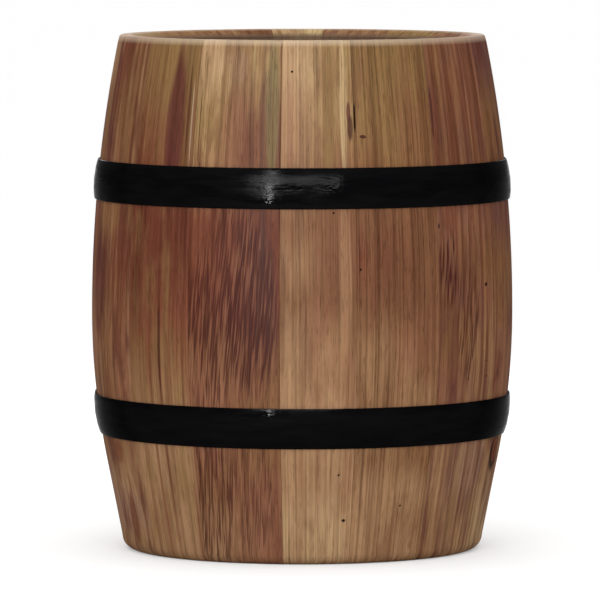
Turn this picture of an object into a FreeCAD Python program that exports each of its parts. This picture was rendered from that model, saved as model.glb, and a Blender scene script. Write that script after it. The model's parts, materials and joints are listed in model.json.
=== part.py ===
"""Oak wine keg of about 20 litres, coopered from separate staves.

Frame: +Z runs up the keg's axis, the origin is the centre of the ring it stands on,
-Y is the front, and the bung hole is at the back on the left. Lengths are in millimetres.

The wall is described once, by wall_radius(z, depth): the radius of the surface that lies
depth below the outside of the staves, measured square to it. A negative depth lies outside.
"""
import FreeCAD, Part
import math
import os

Vec = FreeCAD.Vector
UP = Vec(0, 0, 1)
CENTRE = Vec(0, 0, 0)

# Driving dimensions of the keg
HEIGHT = 400.0
BILGE_HEIGHT = 185.0          # where the keg is widest
BILGE_RADIUS = 164.0
TOP_RADIUS = 142.4
FOOT_TAPER = math.radians(11.3)   # lean of the straight part of a stave near its foot
LOWER_BEND_RADIUS = 580.0     # bend of the staves below the bilge

# Staves
STAVE_THICKNESS = 20.0
# Widths at the bilge in the order the staves are raised, anticlockwise from the bung stave.
STAVE_WIDTHS = [78, 67, 64, 63, 63, 75, 60, 72, 73, 57, 66, 54, 63, 69, 52, 60]
FOOT_ROUND = 10.0             # round on the outer edge of the foot
RIM_BEVEL_HEIGHT = 6.0        # sanded bevel round the outside of the top rim
RIM_BEVEL_DEPTH = 0.5
RIM_ROUND = 1.2               # flat that breaks the outer edge of the top rim
RIM_LAND = 8.0                # flat left on top of the rim
FOOT_LAND = 7.7               # flat ring that the keg stands on
CHIME_BEVEL_HEIGHT = 5.5      # bevel inside both ends

# Heads
HEAD_ANGLE = 45.0             # the boards lie level when the keg lies with its bung up
CHIME_DEPTH = 22.0            # from a stave's end to the head's outer face
HEAD_THICKNESS = 16.0
CROZE_DEPTH = 4.5             # groove that holds the head
CROZE_WIDTH = 4.4
CROZE_FLOOR_WIDTH = 3.8
HEAD_EDGE_THICKNESS = 3.6
HEAD_EDGE_PLAY = 0.3          # between the head's edge and the floor of the groove
HEAD_BEVEL_WIDTH = 12.0
HEAD_JOINTS = [-84.0, -31.0, 22.0, 79.0]   # where the boards of a head meet
REED_THICKNESS = 0.6          # dry rush pressed between two boards
DOWEL_RADIUS = 3.0
DOWEL_PLAY = 0.05
DOWEL_LENGTH = 36.0
DOWEL_SPREAD = 0.55           # share of the joint's half length at which a dowel sits

# Hoops
HOOP_THICKNESS = 1.3
HOOP_DISH = 1.5               # the strip is dished, so its middle stands out by this much
HOOP_GAP = 0.1                # between hoop and staves, and between the laps
UPPER_HOOP = (273.0, 304.0)   # lower and upper edge
LOWER_HOOP = (90.5, 121.5)
UPPER_SEAM_ANGLE = 104.0
LOWER_SEAM_ANGLE = 156.0
LAP_ANGLE = 17.0
RAMP_ANGLE = 6.0              # where the strip climbs onto its own end
RAMP_STEPS = 6
RIVET_RADIUS = 2.5
RIVET_HEAD_RADIUS = 4.6
RIVET_HEAD_HEIGHT = 1.8
RIVET_TAIL_RADIUS = 3.4       # countersunk tail, flush inside the hoop
RIVET_PLACES = [0.28, 0.72]   # shares of the lap's length

# Bung
BUNG_ANGLE = 135.0
BUNG_HOLE_RADIUS = 17.0       # at the outside of the stave
BUNG_TAPER = 0.05             # radius lost per millimetre of depth
BUNG_PLAY = 0.1
BUNG_PROUD = 4.0
BUNG_LENGTH = 29.0
BUNG_EDGE = 1.2

# Worked out from the above
UPPER_RISE = HEIGHT - BILGE_HEIGHT
UPPER_FALL = BILGE_RADIUS - TOP_RADIUS
UPPER_BEND_RADIUS = (UPPER_RISE**2 + UPPER_FALL**2) / (2 * UPPER_FALL)
TOP_HEAD_MIDDLE = HEIGHT - CHIME_DEPTH - HEAD_THICKNESS / 2
BOTTOM_HEAD_MIDDLE = CHIME_DEPTH + HEAD_THICKNESS / 2


def straight_end(depth):
    """Height at which the straight foot of a stave runs into its bend, at this depth."""
    return BILGE_HEIGHT - (LOWER_BEND_RADIUS - depth) * math.sin(FOOT_TAPER)


def wall_radius(z, depth=0.0):
    """Radius of the wall at height z, depth below the outside of the staves."""
    rise = z - BILGE_HEIGHT
    if rise >= 0:
        bend = UPPER_BEND_RADIUS
    else:
        bend = LOWER_BEND_RADIUS
    if z >= straight_end(depth):
        return BILGE_RADIUS - bend + math.sqrt((bend - depth) ** 2 - rise**2)
    end = straight_end(depth)
    return wall_radius(end, depth) - (end - z) * math.tan(FOOT_TAPER)


def wall_lean(z):
    """Angle by which the outside of the wall faces up (positive) or down at height z."""
    rise = z - BILGE_HEIGHT
    if rise >= 0:
        return math.asin(rise / UPPER_BEND_RADIUS)
    return max(-FOOT_TAPER, math.asin(rise / LOWER_BEND_RADIUS))


def at(radius, z):
    """Point of a section drawn in the XZ plane."""
    return Vec(radius, 0, z)


def wall_point(z, depth):
    return at(wall_radius(z, depth), z)


def line(a, b):
    return Part.LineSegment(a, b).toShape()


def arc(a, middle, b):
    return Part.Arc(a, middle, b).toShape()


def chain(points):
    """Straight edges through these points."""
    return [line(a, b) for a, b in zip(points, points[1:])]


def wall_edges(z_from, z_to, depth):
    """Edges of the wall's outline from one height to another, at this depth."""
    low, high = sorted((z_from, z_to))
    breaks = [z for z in (straight_end(depth), BILGE_HEIGHT) if low < z < high]
    heights = [low, *breaks, high]
    edges = []
    for a, b in zip(heights, heights[1:]):
        start, end = wall_point(a, depth), wall_point(b, depth)
        if b <= straight_end(depth) + 1e-6:
            edges.append(line(start, end))
        else:
            edges.append(arc(start, wall_point((a + b) / 2, depth), end))
    if z_from > z_to:
        edges.reverse()
    return edges


def solid_of_turn(edges, start_angle, turn):
    """Turns a closed section about the keg's axis, from start_angle, in degrees."""
    face = Part.Face(Part.Wire(Part.__sortEdges__(edges)))
    face.rotate(CENTRE, UP, start_angle)
    return face.revolve(CENTRE, UP, turn)


def croze_edges(middle, upwards):
    """The groove for a head, cut into the inside of a stave."""
    inner = STAVE_THICKNESS
    floor = wall_radius(middle, inner) + CROZE_DEPTH
    points = [
        wall_point(middle - CROZE_WIDTH / 2, inner),
        at(floor, middle - CROZE_FLOOR_WIDTH / 2),
        at(floor, middle + CROZE_FLOOR_WIDTH / 2),
        wall_point(middle + CROZE_WIDTH / 2, inner),
    ]
    if not upwards:
        points.reverse()
    return chain(points)


def stave_section():
    """Closed outline of a stave, cut along its length."""
    inner = STAVE_THICKNESS
    round_centre = wall_point(FOOT_ROUND, FOOT_ROUND)
    foot_outer = at(round_centre.x, 0)

    def on_round(angle):
        across, along = math.cos(angle), math.sin(angle)
        return round_centre + Vec(FOOT_ROUND * across, 0, FOOT_ROUND * along)

    wall_start = on_round(-FOOT_TAPER)
    edges = [arc(foot_outer, on_round((-math.pi / 2 - FOOT_TAPER) / 2), wall_start)]

    bevel_start = HEIGHT - RIM_BEVEL_HEIGHT
    edges += wall_edges(wall_start.z, bevel_start, 0)
    rim_edge = wall_point(HEIGHT - RIM_ROUND, 0) - Vec(RIM_BEVEL_DEPTH, 0, 0)
    rim_top = at(rim_edge.x - RIM_ROUND, HEIGHT)
    land_end = rim_top - Vec(RIM_LAND, 0, 0)
    top_inner = wall_point(HEIGHT - CHIME_BEVEL_HEIGHT, inner)
    edges += chain([wall_point(bevel_start, 0), rim_edge, rim_top, land_end, top_inner])

    half = CROZE_WIDTH / 2
    edges += wall_edges(top_inner.z, TOP_HEAD_MIDDLE + half, inner)
    edges += croze_edges(TOP_HEAD_MIDDLE, upwards=False)
    edges += wall_edges(TOP_HEAD_MIDDLE - half, BOTTOM_HEAD_MIDDLE + half, inner)
    edges += croze_edges(BOTTOM_HEAD_MIDDLE, upwards=False)
    edges += wall_edges(BOTTOM_HEAD_MIDDLE - half, CHIME_BEVEL_HEIGHT, inner)
    foot_inner = foot_outer - Vec(FOOT_LAND, 0, 0)
    edges += chain([wall_point(CHIME_BEVEL_HEIGHT, inner), foot_inner, foot_outer])
    return edges


def bung_cone(outer_end, inner_end, play):
    """Tapered plug square to the bilge, between two distances from the keg's axis."""
    turn = math.radians(BUNG_ANGLE)
    outwards = Vec(math.cos(turn), math.sin(turn), 0)

    def radius(distance):
        return BUNG_HOLE_RADIUS - play - (BILGE_RADIUS - distance) * BUNG_TAPER

    return Part.makeCone(
        radius(inner_end), radius(outer_end), outer_end - inner_end,
        Vec(0, 0, BILGE_HEIGHT) + outwards * inner_end, outwards,
    )


def make_staves():
    """Every stave as a wedge between two joint planes through the keg's axis."""
    section = stave_section()
    degrees_per_mm = 360.0 / sum(STAVE_WIDTHS)
    start = BUNG_ANGLE - STAVE_WIDTHS[0] * degrees_per_mm / 2
    staves = {}
    for number, width in enumerate(STAVE_WIDTHS):
        turn = width * degrees_per_mm
        stave = solid_of_turn(section, start, turn)
        if number == 0:
            hole = bung_cone(BILGE_RADIUS + 10, BILGE_RADIUS - STAVE_THICKNESS - 10, 0)
            staves["bung_stave"] = stave.cut(hole)
        else:
            staves[f"stave_{number:02d}"] = stave
        start += turn
    return staves


def head_disc(middle):
    """A whole head before it is split into boards: flat faces, edge bevelled to the groove."""
    wall = wall_radius(middle, STAVE_THICKNESS)
    edge = wall + CROZE_DEPTH - HEAD_EDGE_PLAY
    half, half_edge = HEAD_THICKNESS / 2, HEAD_EDGE_THICKNESS / 2
    bevel_end = wall - 0.8
    bevel_start = wall - HEAD_BEVEL_WIDTH
    points = [
        at(0, middle - half),
        at(bevel_start, middle - half),
        at(bevel_end, middle - half_edge),
        at(edge, middle - half_edge),
        at(edge, middle + half_edge),
        at(bevel_end, middle + half_edge),
        at(bevel_start, middle + half),
        at(0, middle + half),
        at(0, middle - half),
    ]
    return solid_of_turn(chain(points), 0, 360)


def slab(y_low, y_high, middle):
    """Box that keeps the part of a head between two joints."""
    reach = BILGE_RADIUS
    return Part.makeBox(
        2 * reach, y_high - y_low, 2 * HEAD_THICKNESS,
        Vec(-reach, y_low, middle - HEAD_THICKNESS),
    )


def dowel_pins(middle, radius, length):
    """Two pins across each joint of a head."""
    edge = wall_radius(middle, STAVE_THICKNESS)
    pins = []
    for joint in HEAD_JOINTS:
        half_joint = math.sqrt(edge**2 - joint**2)
        for side in (-1, 1):
            start = Vec(side * DOWEL_SPREAD * half_joint, joint - length / 2, middle)
            pins.append(Part.makeCylinder(radius, length, start, Vec(0, 1, 0)))
    return pins


def make_head(name, middle):
    """Boards, dowels and reeds of one head."""
    disc = head_disc(middle)
    holes = Part.Compound(dowel_pins(middle, DOWEL_RADIUS, DOWEL_LENGTH + 1))
    half_reed = REED_THICKNESS / 2
    reach = BILGE_RADIUS
    limits = [-reach - half_reed, *HEAD_JOINTS, reach + half_reed]
    pieces = {}
    for number, (low, high) in enumerate(zip(limits, limits[1:]), start=1):
        board = disc.common(slab(low + half_reed, high - half_reed, middle))
        pieces[f"{name}_board_{number}"] = board.cut(holes)
    reeds = [disc.common(slab(y - half_reed, y + half_reed, middle)) for y in HEAD_JOINTS]
    pieces[f"{name}_reeds"] = Part.Compound(reeds).cut(holes)
    pieces[f"{name}_dowels"] = Part.Compound(
        dowel_pins(middle, DOWEL_RADIUS - DOWEL_PLAY, DOWEL_LENGTH)
    )
    for piece in pieces.values():
        piece.rotate(CENTRE, UP, HEAD_ANGLE)
    return pieces


def hoop_section(edges_at, lift):
    """Closed outline of the dished hoop strip, lifted off the staves by this much."""
    low, high = edges_at
    near = -HOOP_GAP - lift
    far = near - HOOP_THICKNESS

    def face(depth):
        middle = wall_point((low + high) / 2, depth - HOOP_DISH)
        return arc(wall_point(low, depth), middle, wall_point(high, depth))

    edges = [face(near), face(far)]
    for z in edges_at:
        edges.append(line(wall_point(z, near), wall_point(z, far)))
    return edges


def ramp_solid(edges_at, start_angle, lap_lift):
    """The stretch where the strip climbs from the staves onto its own end."""
    wires = []
    for step in range(RAMP_STEPS + 1):
        share = step / RAMP_STEPS
        lift = lap_lift * share**2 * (3 - 2 * share)
        wire = Part.Wire(Part.__sortEdges__(hoop_section(edges_at, lift)))
        wire.rotate(CENTRE, UP, start_angle + RAMP_ANGLE * share)
        wires.append(wire)
    return Part.makeLoft(wires, True, True)


def rivet_line(edges_at, seam_angle, along):
    """A rivet's axis: where it leaves the inner face of the hoop, and its direction."""
    z = sum(edges_at) / 2
    lean, turn = wall_lean(z), math.radians(seam_angle + LAP_ANGLE * along)
    outwards = Vec(
        math.cos(lean) * math.cos(turn), math.cos(lean) * math.sin(turn), math.sin(lean)
    )
    radius = wall_radius(z)
    on_wall = Vec(radius * math.cos(turn), radius * math.sin(turn), z)
    return on_wall + outwards * (HOOP_GAP + HOOP_DISH), outwards


def rivet_body(foot, outwards, length):
    """Countersunk tail in the inner lap and shank through both."""
    tail = Part.makeCone(RIVET_TAIL_RADIUS, RIVET_RADIUS, HOOP_THICKNESS, foot, outwards)
    shank = Part.makeCylinder(
        RIVET_RADIUS, length - HOOP_THICKNESS, foot + outwards * HOOP_THICKNESS, outwards
    )
    return tail.fuse(shank).removeSplitter()


def rivet(foot, outwards):
    """Rivet with a domed head outside."""
    grip = 2 * HOOP_THICKNESS + HOOP_GAP
    head_foot = foot + outwards * grip
    dome_radius = (RIVET_HEAD_RADIUS**2 + RIVET_HEAD_HEIGHT**2) / (2 * RIVET_HEAD_HEIGHT)
    dome = Part.makeSphere(dome_radius)
    dome.translate(head_foot + outwards * (RIVET_HEAD_HEIGHT - dome_radius))
    above_hoop = Part.makeCylinder(
        RIVET_HEAD_RADIUS + 1, RIVET_HEAD_HEIGHT + 1, head_foot, outwards
    )
    return rivet_body(foot, outwards, grip).fuse(dome.common(above_hoop)).removeSplitter()


def make_hoop(name, edges_at, seam_angle):
    """One steel strip, its ends lapped and joined with two rivets."""
    lap_lift = HOOP_THICKNESS + HOOP_GAP
    body = solid_of_turn(hoop_section(edges_at, 0), seam_angle, 360 - RAMP_ANGLE)
    ramp = ramp_solid(edges_at, seam_angle - RAMP_ANGLE, lap_lift)
    lap = solid_of_turn(hoop_section(edges_at, lap_lift), seam_angle, LAP_ANGLE)
    strip = body.fuse([ramp, lap]).removeSplitter()
    lines = [rivet_line(edges_at, seam_angle, along) for along in RIVET_PLACES]
    for foot, outwards in lines:
        strip = strip.cut(rivet_body(foot, outwards, 4 * HOOP_THICKNESS))
    rivets = Part.Compound([rivet(foot, outwards) for foot, outwards in lines])
    return {name: strip, f"{name}_rivets": rivets}


def make_bung():
    """Turned plug with its edges broken, standing a little proud of the bilge."""
    outer = BILGE_RADIUS + BUNG_PROUD
    plug = bung_cone(outer, outer - BUNG_LENGTH, BUNG_PLAY)
    round_edges = [edge for edge in plug.Edges if isinstance(edge.Curve, Part.Circle)]
    return {"bung": plug.makeChamfer(BUNG_EDGE, round_edges)}


def write(pieces):
    os.makedirs("parts", exist_ok=True)
    for name, shape in pieces.items():
        solids = shape.Solids
        valid = all(solid.isValid() and solid.Volume > 0 for solid in solids)
        litres = sum(solid.Volume for solid in solids) / 1e6
        print(f"{name}: {len(solids)} solid(s), valid {valid}, {litres:.4f} l")
        shape.exportStep(f"parts/{name}.step")


write({
    **make_staves(),
    **make_head("top_head", TOP_HEAD_MIDDLE),
    **make_head("bottom_head", BOTTOM_HEAD_MIDDLE),
    **make_hoop("upper_hoop", UPPER_HOOP, UPPER_SEAM_ANGLE),
    **make_hoop("lower_hoop", LOWER_HOOP, LOWER_SEAM_ANGLE),
    **make_bung(),
})
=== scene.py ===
import json
import math
import random
import bmesh
import bpy
from mathutils import Matrix, Vector, noise

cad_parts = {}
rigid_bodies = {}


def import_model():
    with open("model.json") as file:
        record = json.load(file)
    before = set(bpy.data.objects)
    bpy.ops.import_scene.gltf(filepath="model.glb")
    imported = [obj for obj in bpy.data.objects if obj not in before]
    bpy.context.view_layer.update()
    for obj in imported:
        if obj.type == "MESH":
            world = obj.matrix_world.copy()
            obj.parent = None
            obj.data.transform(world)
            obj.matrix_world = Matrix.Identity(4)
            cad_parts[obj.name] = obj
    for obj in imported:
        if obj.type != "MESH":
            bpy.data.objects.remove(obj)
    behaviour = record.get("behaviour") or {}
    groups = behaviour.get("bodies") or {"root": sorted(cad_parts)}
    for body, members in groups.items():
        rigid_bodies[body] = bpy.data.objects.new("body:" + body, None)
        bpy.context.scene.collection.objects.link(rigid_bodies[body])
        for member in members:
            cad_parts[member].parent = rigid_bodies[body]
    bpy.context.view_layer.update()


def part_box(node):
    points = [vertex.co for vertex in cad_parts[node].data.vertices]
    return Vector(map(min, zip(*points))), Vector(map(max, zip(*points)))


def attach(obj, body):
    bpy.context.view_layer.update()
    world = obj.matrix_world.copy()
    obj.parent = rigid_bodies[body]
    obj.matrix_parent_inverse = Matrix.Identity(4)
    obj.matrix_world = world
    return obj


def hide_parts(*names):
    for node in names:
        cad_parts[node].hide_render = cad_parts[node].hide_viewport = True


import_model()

MM = 0.001

# The wall, described as in the part: two bends and a straight foot, with depth measured
# inwards from the outside of the staves
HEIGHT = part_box("stave_01")[1][2]
BILGE_HEIGHT = 185 * MM
BILGE_RADIUS = 164 * MM
TOP_RADIUS = 142.4 * MM
LOWER_BEND = 580 * MM
FOOT_TAPER = math.radians(11.3)
UPPER_RISE, UPPER_FALL = HEIGHT - BILGE_HEIGHT, BILGE_RADIUS - TOP_RADIUS
UPPER_BEND = (UPPER_RISE**2 + UPPER_FALL**2) / (2 * UPPER_FALL)

# Staves
STAVE_THICKNESS = 20 * MM
FOOT_ROUND = 10 * MM
FOOT_LAND = 7.7 * MM
RIM_BEVEL_HEIGHT = 6 * MM
RIM_BEVEL_DEPTH = 0.5 * MM
RIM_ROUND = 1.2 * MM
RIM_LAND = 8 * MM
CHIME_BEVEL_HEIGHT = 5.5 * MM
CROZE_DEPTH = 4.5 * MM
CROZE_WIDTH = 4.4 * MM
HEAD_MIDDLES = [sum(corner[2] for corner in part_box(f"{end}_head_board_3")) / 2
                for end in ("top", "bottom")]
ARRIS = 0.45 * MM             # round sanded on the long edges of a stave
OUTER_STEP = 4 * MM           # rows of the mesh up the outside
INNER_STEP = 12 * MM
COLUMN_STEP = 3.2 * MM
STAVE_NAMES = ["bung_stave"] + [f"stave_{number:02d}" for number in range(1, 16)]
FRONT = 270.0                 # the turn, in degrees from +X, that faces the front

# Hoops
HOOP_THICKNESS = 1.3 * MM
HOOP_DISH = 1.5 * MM
HOOP_GAP = 0.1 * MM
HOOP_WANDER = 0.22 * MM       # unevenness left by rolling and hammering
SEAM_ANGLES = {"upper_hoop": math.radians(104), "lower_hoop": math.radians(156)}
LAP_ANGLE = math.radians(17)
RAMP_ANGLE = math.radians(6)
RIVET_FIRST, RIVET_STEP = 0.28, 0.44   # shares of the lap
RIVET_RADIUS = 4.6 * MM
RIVET_HEIGHT = 1.8 * MM

# Heads
HEAD_ARRIS = 0.7 * MM
BOARDS = 5                    # in each head

# Bung
BUNG_ANGLE = math.radians(135)
BUNG_WAY = Vector((math.cos(BUNG_ANGLE), math.sin(BUNG_ANGLE), 0))
BUNG_HOLE_RADIUS = 17 * MM
BUNG_TAPER = 0.05
BUNG_PLAY = 0.1 * MM
BUNG_PROUD = 4 * MM
BUNG_LENGTH = 29 * MM
BUNG_EDGE = 1.2 * MM

# Flaws
PIN_DEPTH = 1.6 * MM
CHECK_DEPTH = 2.2 * MM
KNOT_RING_DEPTH = 0.45 * MM
KNOT_SPLIT_DEPTH = 1.2 * MM
BLACK_DEPTH = 0.9 * MM        # how deep a hollow is before it is painted fully dark

FIGURE_LEAN = 5.0             # degrees by which the bold figure leans to the right
SWELL = 0.09 * MM             # unevenness of a stave's planed face
MOST_SUNK = 0.12              # mm by which one stave may lie below the next

# Specular levels, far below a real coat's 0.5 so that the white room doesn't veil dark tones
VARNISH_GLOSS = 0.08
ENAMEL_GLOSS = 0.035
EDGE_ON_SHARE = 0.06          # what is left of them seen edge on

# Camera
LENS = 421
SENSOR = 36
CAMERA_PLACE = (-0.0017, -5.457, 0.577)
CAMERA_TARGET = (-0.0017, 0.0, 0.193)

# Light of the room, where 1 is white
HORIZON_LIGHT = 0.36
OVERHEAD_LIGHT = 1.5
FLOOR_BOUNCE = 0.62
FLOOR_GLOW = 0.3

# Lamps: name, place, what it points at, width, height, watts, is it seen only in reflections
LAMPS = [
    ("strip light", (-0.1, -1.7, 0.72), (0, 0, 0.28), 1.5, 0.3, 18.5, False),
    ("glint", (-0.5, -1.62, 0.7), (0, 0, 0.3), 0.03, 1.2, 24, True),
    ("back strip", (-0.2, 1.7, 0.72), (0, 0, 0.28), 1.5, 0.3, 10, False),
]

# Tones of the varnished oak, from sapwood to heart
TONES = {
    "cream": "d2c0a8",
    "straw": "b89f76",
    "fawn": "a98a66",
    "honey": "997656",
    "olive tan": "93774f",
    "tan": "8d6a4b",
    "olive": "7d603c",
    "moss": "6f5f3e",
    "pink tan": "92705a",
    "chestnut": "845a42",
    "nut": "7a5538",
    "brown": "704a33",
    "red brown": "6c3d2b",
    "dark red": "5c3022",
    "maroon": "552a25",
    "plum": "66403a",
    "raw grey": "5a4b3f",
    "umber": "3c1a13",
    "char": "1c100b",
}

# Heights in mm at which the tone of a stave is given, from foot to rim
TONE_HEIGHTS = [12, 40, 62, 84, 130, 170, 205, 235, 265, 308, 345, 383]

# How strongly growth lines, streaks, pores, bands and blotches show where a look says no other
USUAL_LOOK = dict(lines=0.5, streaks=0.6, pores=0.5, bands=0.5, blotches=0.5)

# What each stave looks like: tones up its left and right edges at those heights; those
# strengths where they aren't the usual; and the tones of its bands and blotches
LOOKS = {
    "stave_02": dict(
        left="tan pink_tan pink_tan nut nut chestnut brown dark_red red_brown nut nut tan",
        lines=0.4, streaks=0.5, pores=0.4, band="tan", blush="plum"),
    "stave_03": dict(
        left="tan pink_tan honey brown brown nut brown maroon nut chestnut brown red_brown",
        right="honey pink_tan honey tan chestnut chestnut brown red_brown nut brown nut brown",
        lines=0.4, bands=0.7, blotches=0.7, band="tan", blush="maroon"),
    "stave_04": dict(
        left="honey tan honey honey tan nut dark_red dark_red dark_red red_brown nut olive",
        right="honey honey honey honey tan nut red_brown dark_red dark_red brown nut olive",
        bands=0.7, blotches=0.6, band="red_brown", blush="olive"),
    "stave_05": dict(
        left="honey tan nut chestnut chestnut brown dark_red red_brown red_brown tan "
             "olive_tan fawn",
        right="chestnut chestnut chestnut nut nut brown maroon dark_red dark_red brown brown "
              "olive_tan",
        lines=0.6, streaks=0.7, pores=0.6, bands=0.4, band="red_brown", blush="dark_red"),
    "stave_06": dict(
        left="fawn fawn honey honey honey honey nut tan nut tan honey fawn",
        right="fawn fawn honey honey honey tan brown brown brown nut olive_tan olive_tan",
        lines=0.6, streaks=0.5, band="chestnut", blush="brown"),
    "stave_07": dict(
        left="honey honey honey tan tan tan brown red_brown brown nut olive olive",
        right="honey tan honey nut tan chestnut brown brown brown nut nut olive",
        lines=0.7, pores=0.6, bands=0.4, band="nut", blush="brown"),
    "stave_08": dict(
        left="tan tan honey tan chestnut nut brown brown chestnut brown brown nut",
        right="honey honey pink_tan pink_tan tan tan chestnut nut chestnut nut chestnut "
              "chestnut",
        streaks=0.7, bands=0.7, blotches=0.6, band="dark_red", blush="plum"),
    "stave_09": dict(
        left="fawn fawn honey tan chestnut chestnut nut nut plum nut nut plum",
        bands=0.6, blotches=0.7, band="brown", blush="maroon"),
    "bung_stave": dict(
        left="tan tan honey tan chestnut chestnut brown brown chestnut tan tan tan",
        lines=0.6, streaks=0.5, band="nut", blush="brown"),
}

# The staves round the back are of the same four kinds of board
BACK_LOOKS = {
    "red heart": dict(
        left="tan chestnut chestnut brown brown red_brown red_brown dark_red red_brown brown "
             "nut nut",
        right="tan tan tan chestnut chestnut brown red_brown brown red_brown chestnut nut tan",
        streaks=0.8, blotches=0.6, band="red_brown", blush="dark_red"),
    "olive": dict(
        left="tan tan honey tan chestnut nut brown brown nut olive olive olive_tan",
        lines=0.8, streaks=0.5, pores=0.6, bands=0.4, band="nut", blush="brown"),
    "sapwood": dict(
        left="honey fawn fawn honey honey tan tan honey tan fawn fawn straw",
        right="tan honey honey tan tan nut nut nut nut tan olive_tan fawn",
        lines=0.6, streaks=0.5, pores=0.6, band="chestnut", blush="olive"),
    "plain": dict(
        left="tan tan pink_tan nut chestnut brown brown nut nut nut nut tan",
        bands=0.6, blotches=0.6, band="red_brown", blush="plum"),
}
BACK_STAVES = {
    "stave_01": "olive", "stave_10": "plain", "stave_11": "red heart", "stave_12": "olive",
    "stave_13": "plain", "stave_14": "sapwood", "stave_15": "red heart",
}

# The head boards, in turn, and what they all share
HEAD_TONES = ["tan honey", "chestnut nut", "honey olive_tan", "nut chestnut", "tan pink_tan"]
HEAD_LOOK = dict(lines=0.7, pores=0.6, band="chestnut", blush="brown")

# Marks in the wood: kind, degrees round from the front (positive to the right), height,
# half width and half height in mm, tone and strength
MARKS = [
    # Bold dark figure of the board left of the front
    ("patch", -13, 206, 24, 74, "dark red", 0.6),
    ("patch", -10, 212, 13, 56, "umber", 0.4),
    ("patch", -18, 134, 24, 18, "chestnut", 0.4),
    ("streaks", -25, 180, 26, 78, "umber", 0.8),
    ("streaks", -13, 195, 26, 76, "umber", 0.9),
    ("streaks", -17, 250, 26, 34, "umber", 0.6),
    ("patch", -5.2, 200, 3, 62, "nut", 0.55),
    ("streaks", -27, 55, 28, 70, "umber", 0.75),
    ("streaks", -14, 60, 24, 60, "umber", 0.5),
    # Its upper end: a pinkish middle and an olive edge
    ("patch", -19, 338, 12, 42, "chestnut", 0.6),
    ("patch", -7.8, 350, 6.5, 66, "moss", 0.75),
    ("patch", -18, 383, 9, 14, "pink tan", 0.5),
    # Red stripe, dark line and pale split near its left neighbour's joint
    ("patch", -38.5, 335, 11, 72, "maroon", 0.85),
    ("patch", -34, 350, 1.4, 44, "umber", 0.6),
    ("patch", -32.6, 338, 1.0, 40, "cream", 0.35),
    ("patch", -41, 168, 1.6, 45, "umber", 0.7),
    ("patch", -48, 215, 8, 50, "red brown", 0.5),
    # Far left
    ("patch", -63, 30, 8, 24, "red brown", 0.7),
    ("patch", -66, 83, 10, 11, "red brown", 0.6),
    ("patch", -72, 350, 9, 52, "maroon", 0.6),
    ("patch", -74, 205, 14, 45, "maroon", 0.6),
    ("streaks", -60, 215, 22, 60, "dark red", 0.6),
    # Front board
    ("patch", 8.2, 352, 6, 66, "olive", 0.75),
    ("patch", 12.6, 352, 3.8, 66, "straw", 0.6),
    ("patch", 12.2, 220, 6, 80, "honey", 0.45),
    ("patch", 2, 330, 8, 36, "tan", 0.5),
    ("patch", 14.5, 337, 2.6, 12, "umber", 0.8),
    ("patch", 14.1, 349, 2.0, 10, "maroon", 0.8),
    ("patch", 6, 230, 14, 26, "brown", 0.4),
    ("patch", 4, 190, 12, 24, "chestnut", 0.4),
    # Right of the front
    ("patch", 18.0, 330, 3.2, 1.7, "umber", 0.9),
    ("patch", 26, 350, 20, 60, "olive", 0.35),
    ("patch", 24, 228, 22, 30, "brown", 0.6),
    ("patch", 30, 345, 2, 46, "brown", 0.5),
    ("patch", 41, 346, 1.5, 24, "umber", 0.7),
    ("patch", 45, 266, 8, 16, "red brown", 0.7),
    ("streaks", 44, 230, 13, 36, "umber", 0.95),
    ("patch", 46, 160, 5, 52, "maroon", 0.5),
    ("streaks", 52, 185, 18, 60, "umber", 0.7),
    ("patch", 53, 175, 1.3, 30, "umber", 0.6),
    ("patch", 75.5, 80, 14, 18, "char", 0.9),
    ("patch", 76, 83, 9, 14, "red brown", 0.95),
]

# Flaws cut into the wood: kind, degrees round from the front, height, half width and half
# height in mm
FLAWS = [
    ("pin", -3, 376.5, 0.9, 0.9),
    ("pin", 8.5, 270, 0.8, 0.8),
    ("pin", 15.8, 227, 0.8, 0.8),
    ("pin", 60, 211, 2.2, 1.4),
    ("pin", 40.3, 258, 0.7, 2.2),
    ("pin", 10.5, 70, 0.8, 0.8),
    ("pin", 12.5, 34.5, 1.5, 1.2),
    ("pin", 30.5, 44.5, 0.8, 0.8),
    ("pin", 61, 140, 0.9, 0.9),
    ("pin", 60.5, 152, 0.8, 0.8),
    ("pin", 52, 139.5, 0.8, 0.8),
    ("check", 15.0, 342, 1.0, 13),
    ("check", -30.5, 335, 0.35, 32),
    ("check", 53, 175, 0.3, 26),
    ("knot", 75, 79, 11, 13),
]


def wall_radius(z, depth=0.0):
    """Radius of the wall at height z, depth below the outside of the staves."""
    bend = UPPER_BEND if z >= BILGE_HEIGHT else LOWER_BEND
    straight_end = BILGE_HEIGHT - (LOWER_BEND - depth) * math.sin(FOOT_TAPER)
    if z < straight_end:
        return wall_radius(straight_end, depth) - (straight_end - z) * math.tan(FOOT_TAPER)
    return BILGE_RADIUS - bend + math.sqrt((bend - depth) ** 2 - (z - BILGE_HEIGHT) ** 2)


def steps(low, high, step):
    """Evenly spaced values from low to high, no further apart than step."""
    count = max(1, math.ceil(abs(high - low) / step))
    return [low + (high - low) * place / count for place in range(count + 1)]


def smooth(value):
    """Eases 0 to 1, and holds beyond."""
    value = min(1.0, max(0.0, value))
    return value * value * (3 - 2 * value)


# ---------------- camera, floor and light

def aim(item, place, target):
    item.location = place
    item.rotation_euler = (Vector(target) - Vector(place)).to_track_quat("-Z", "Y").to_euler()


def make_camera():
    camera = bpy.data.objects.new("camera", bpy.data.cameras.new("camera"))
    camera.data.lens = LENS
    camera.data.sensor_width = SENSOR
    camera.data.clip_end = 500
    aim(camera, CAMERA_PLACE, CAMERA_TARGET)
    bpy.context.scene.collection.objects.link(camera)
    bpy.context.scene.camera = camera


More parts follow.
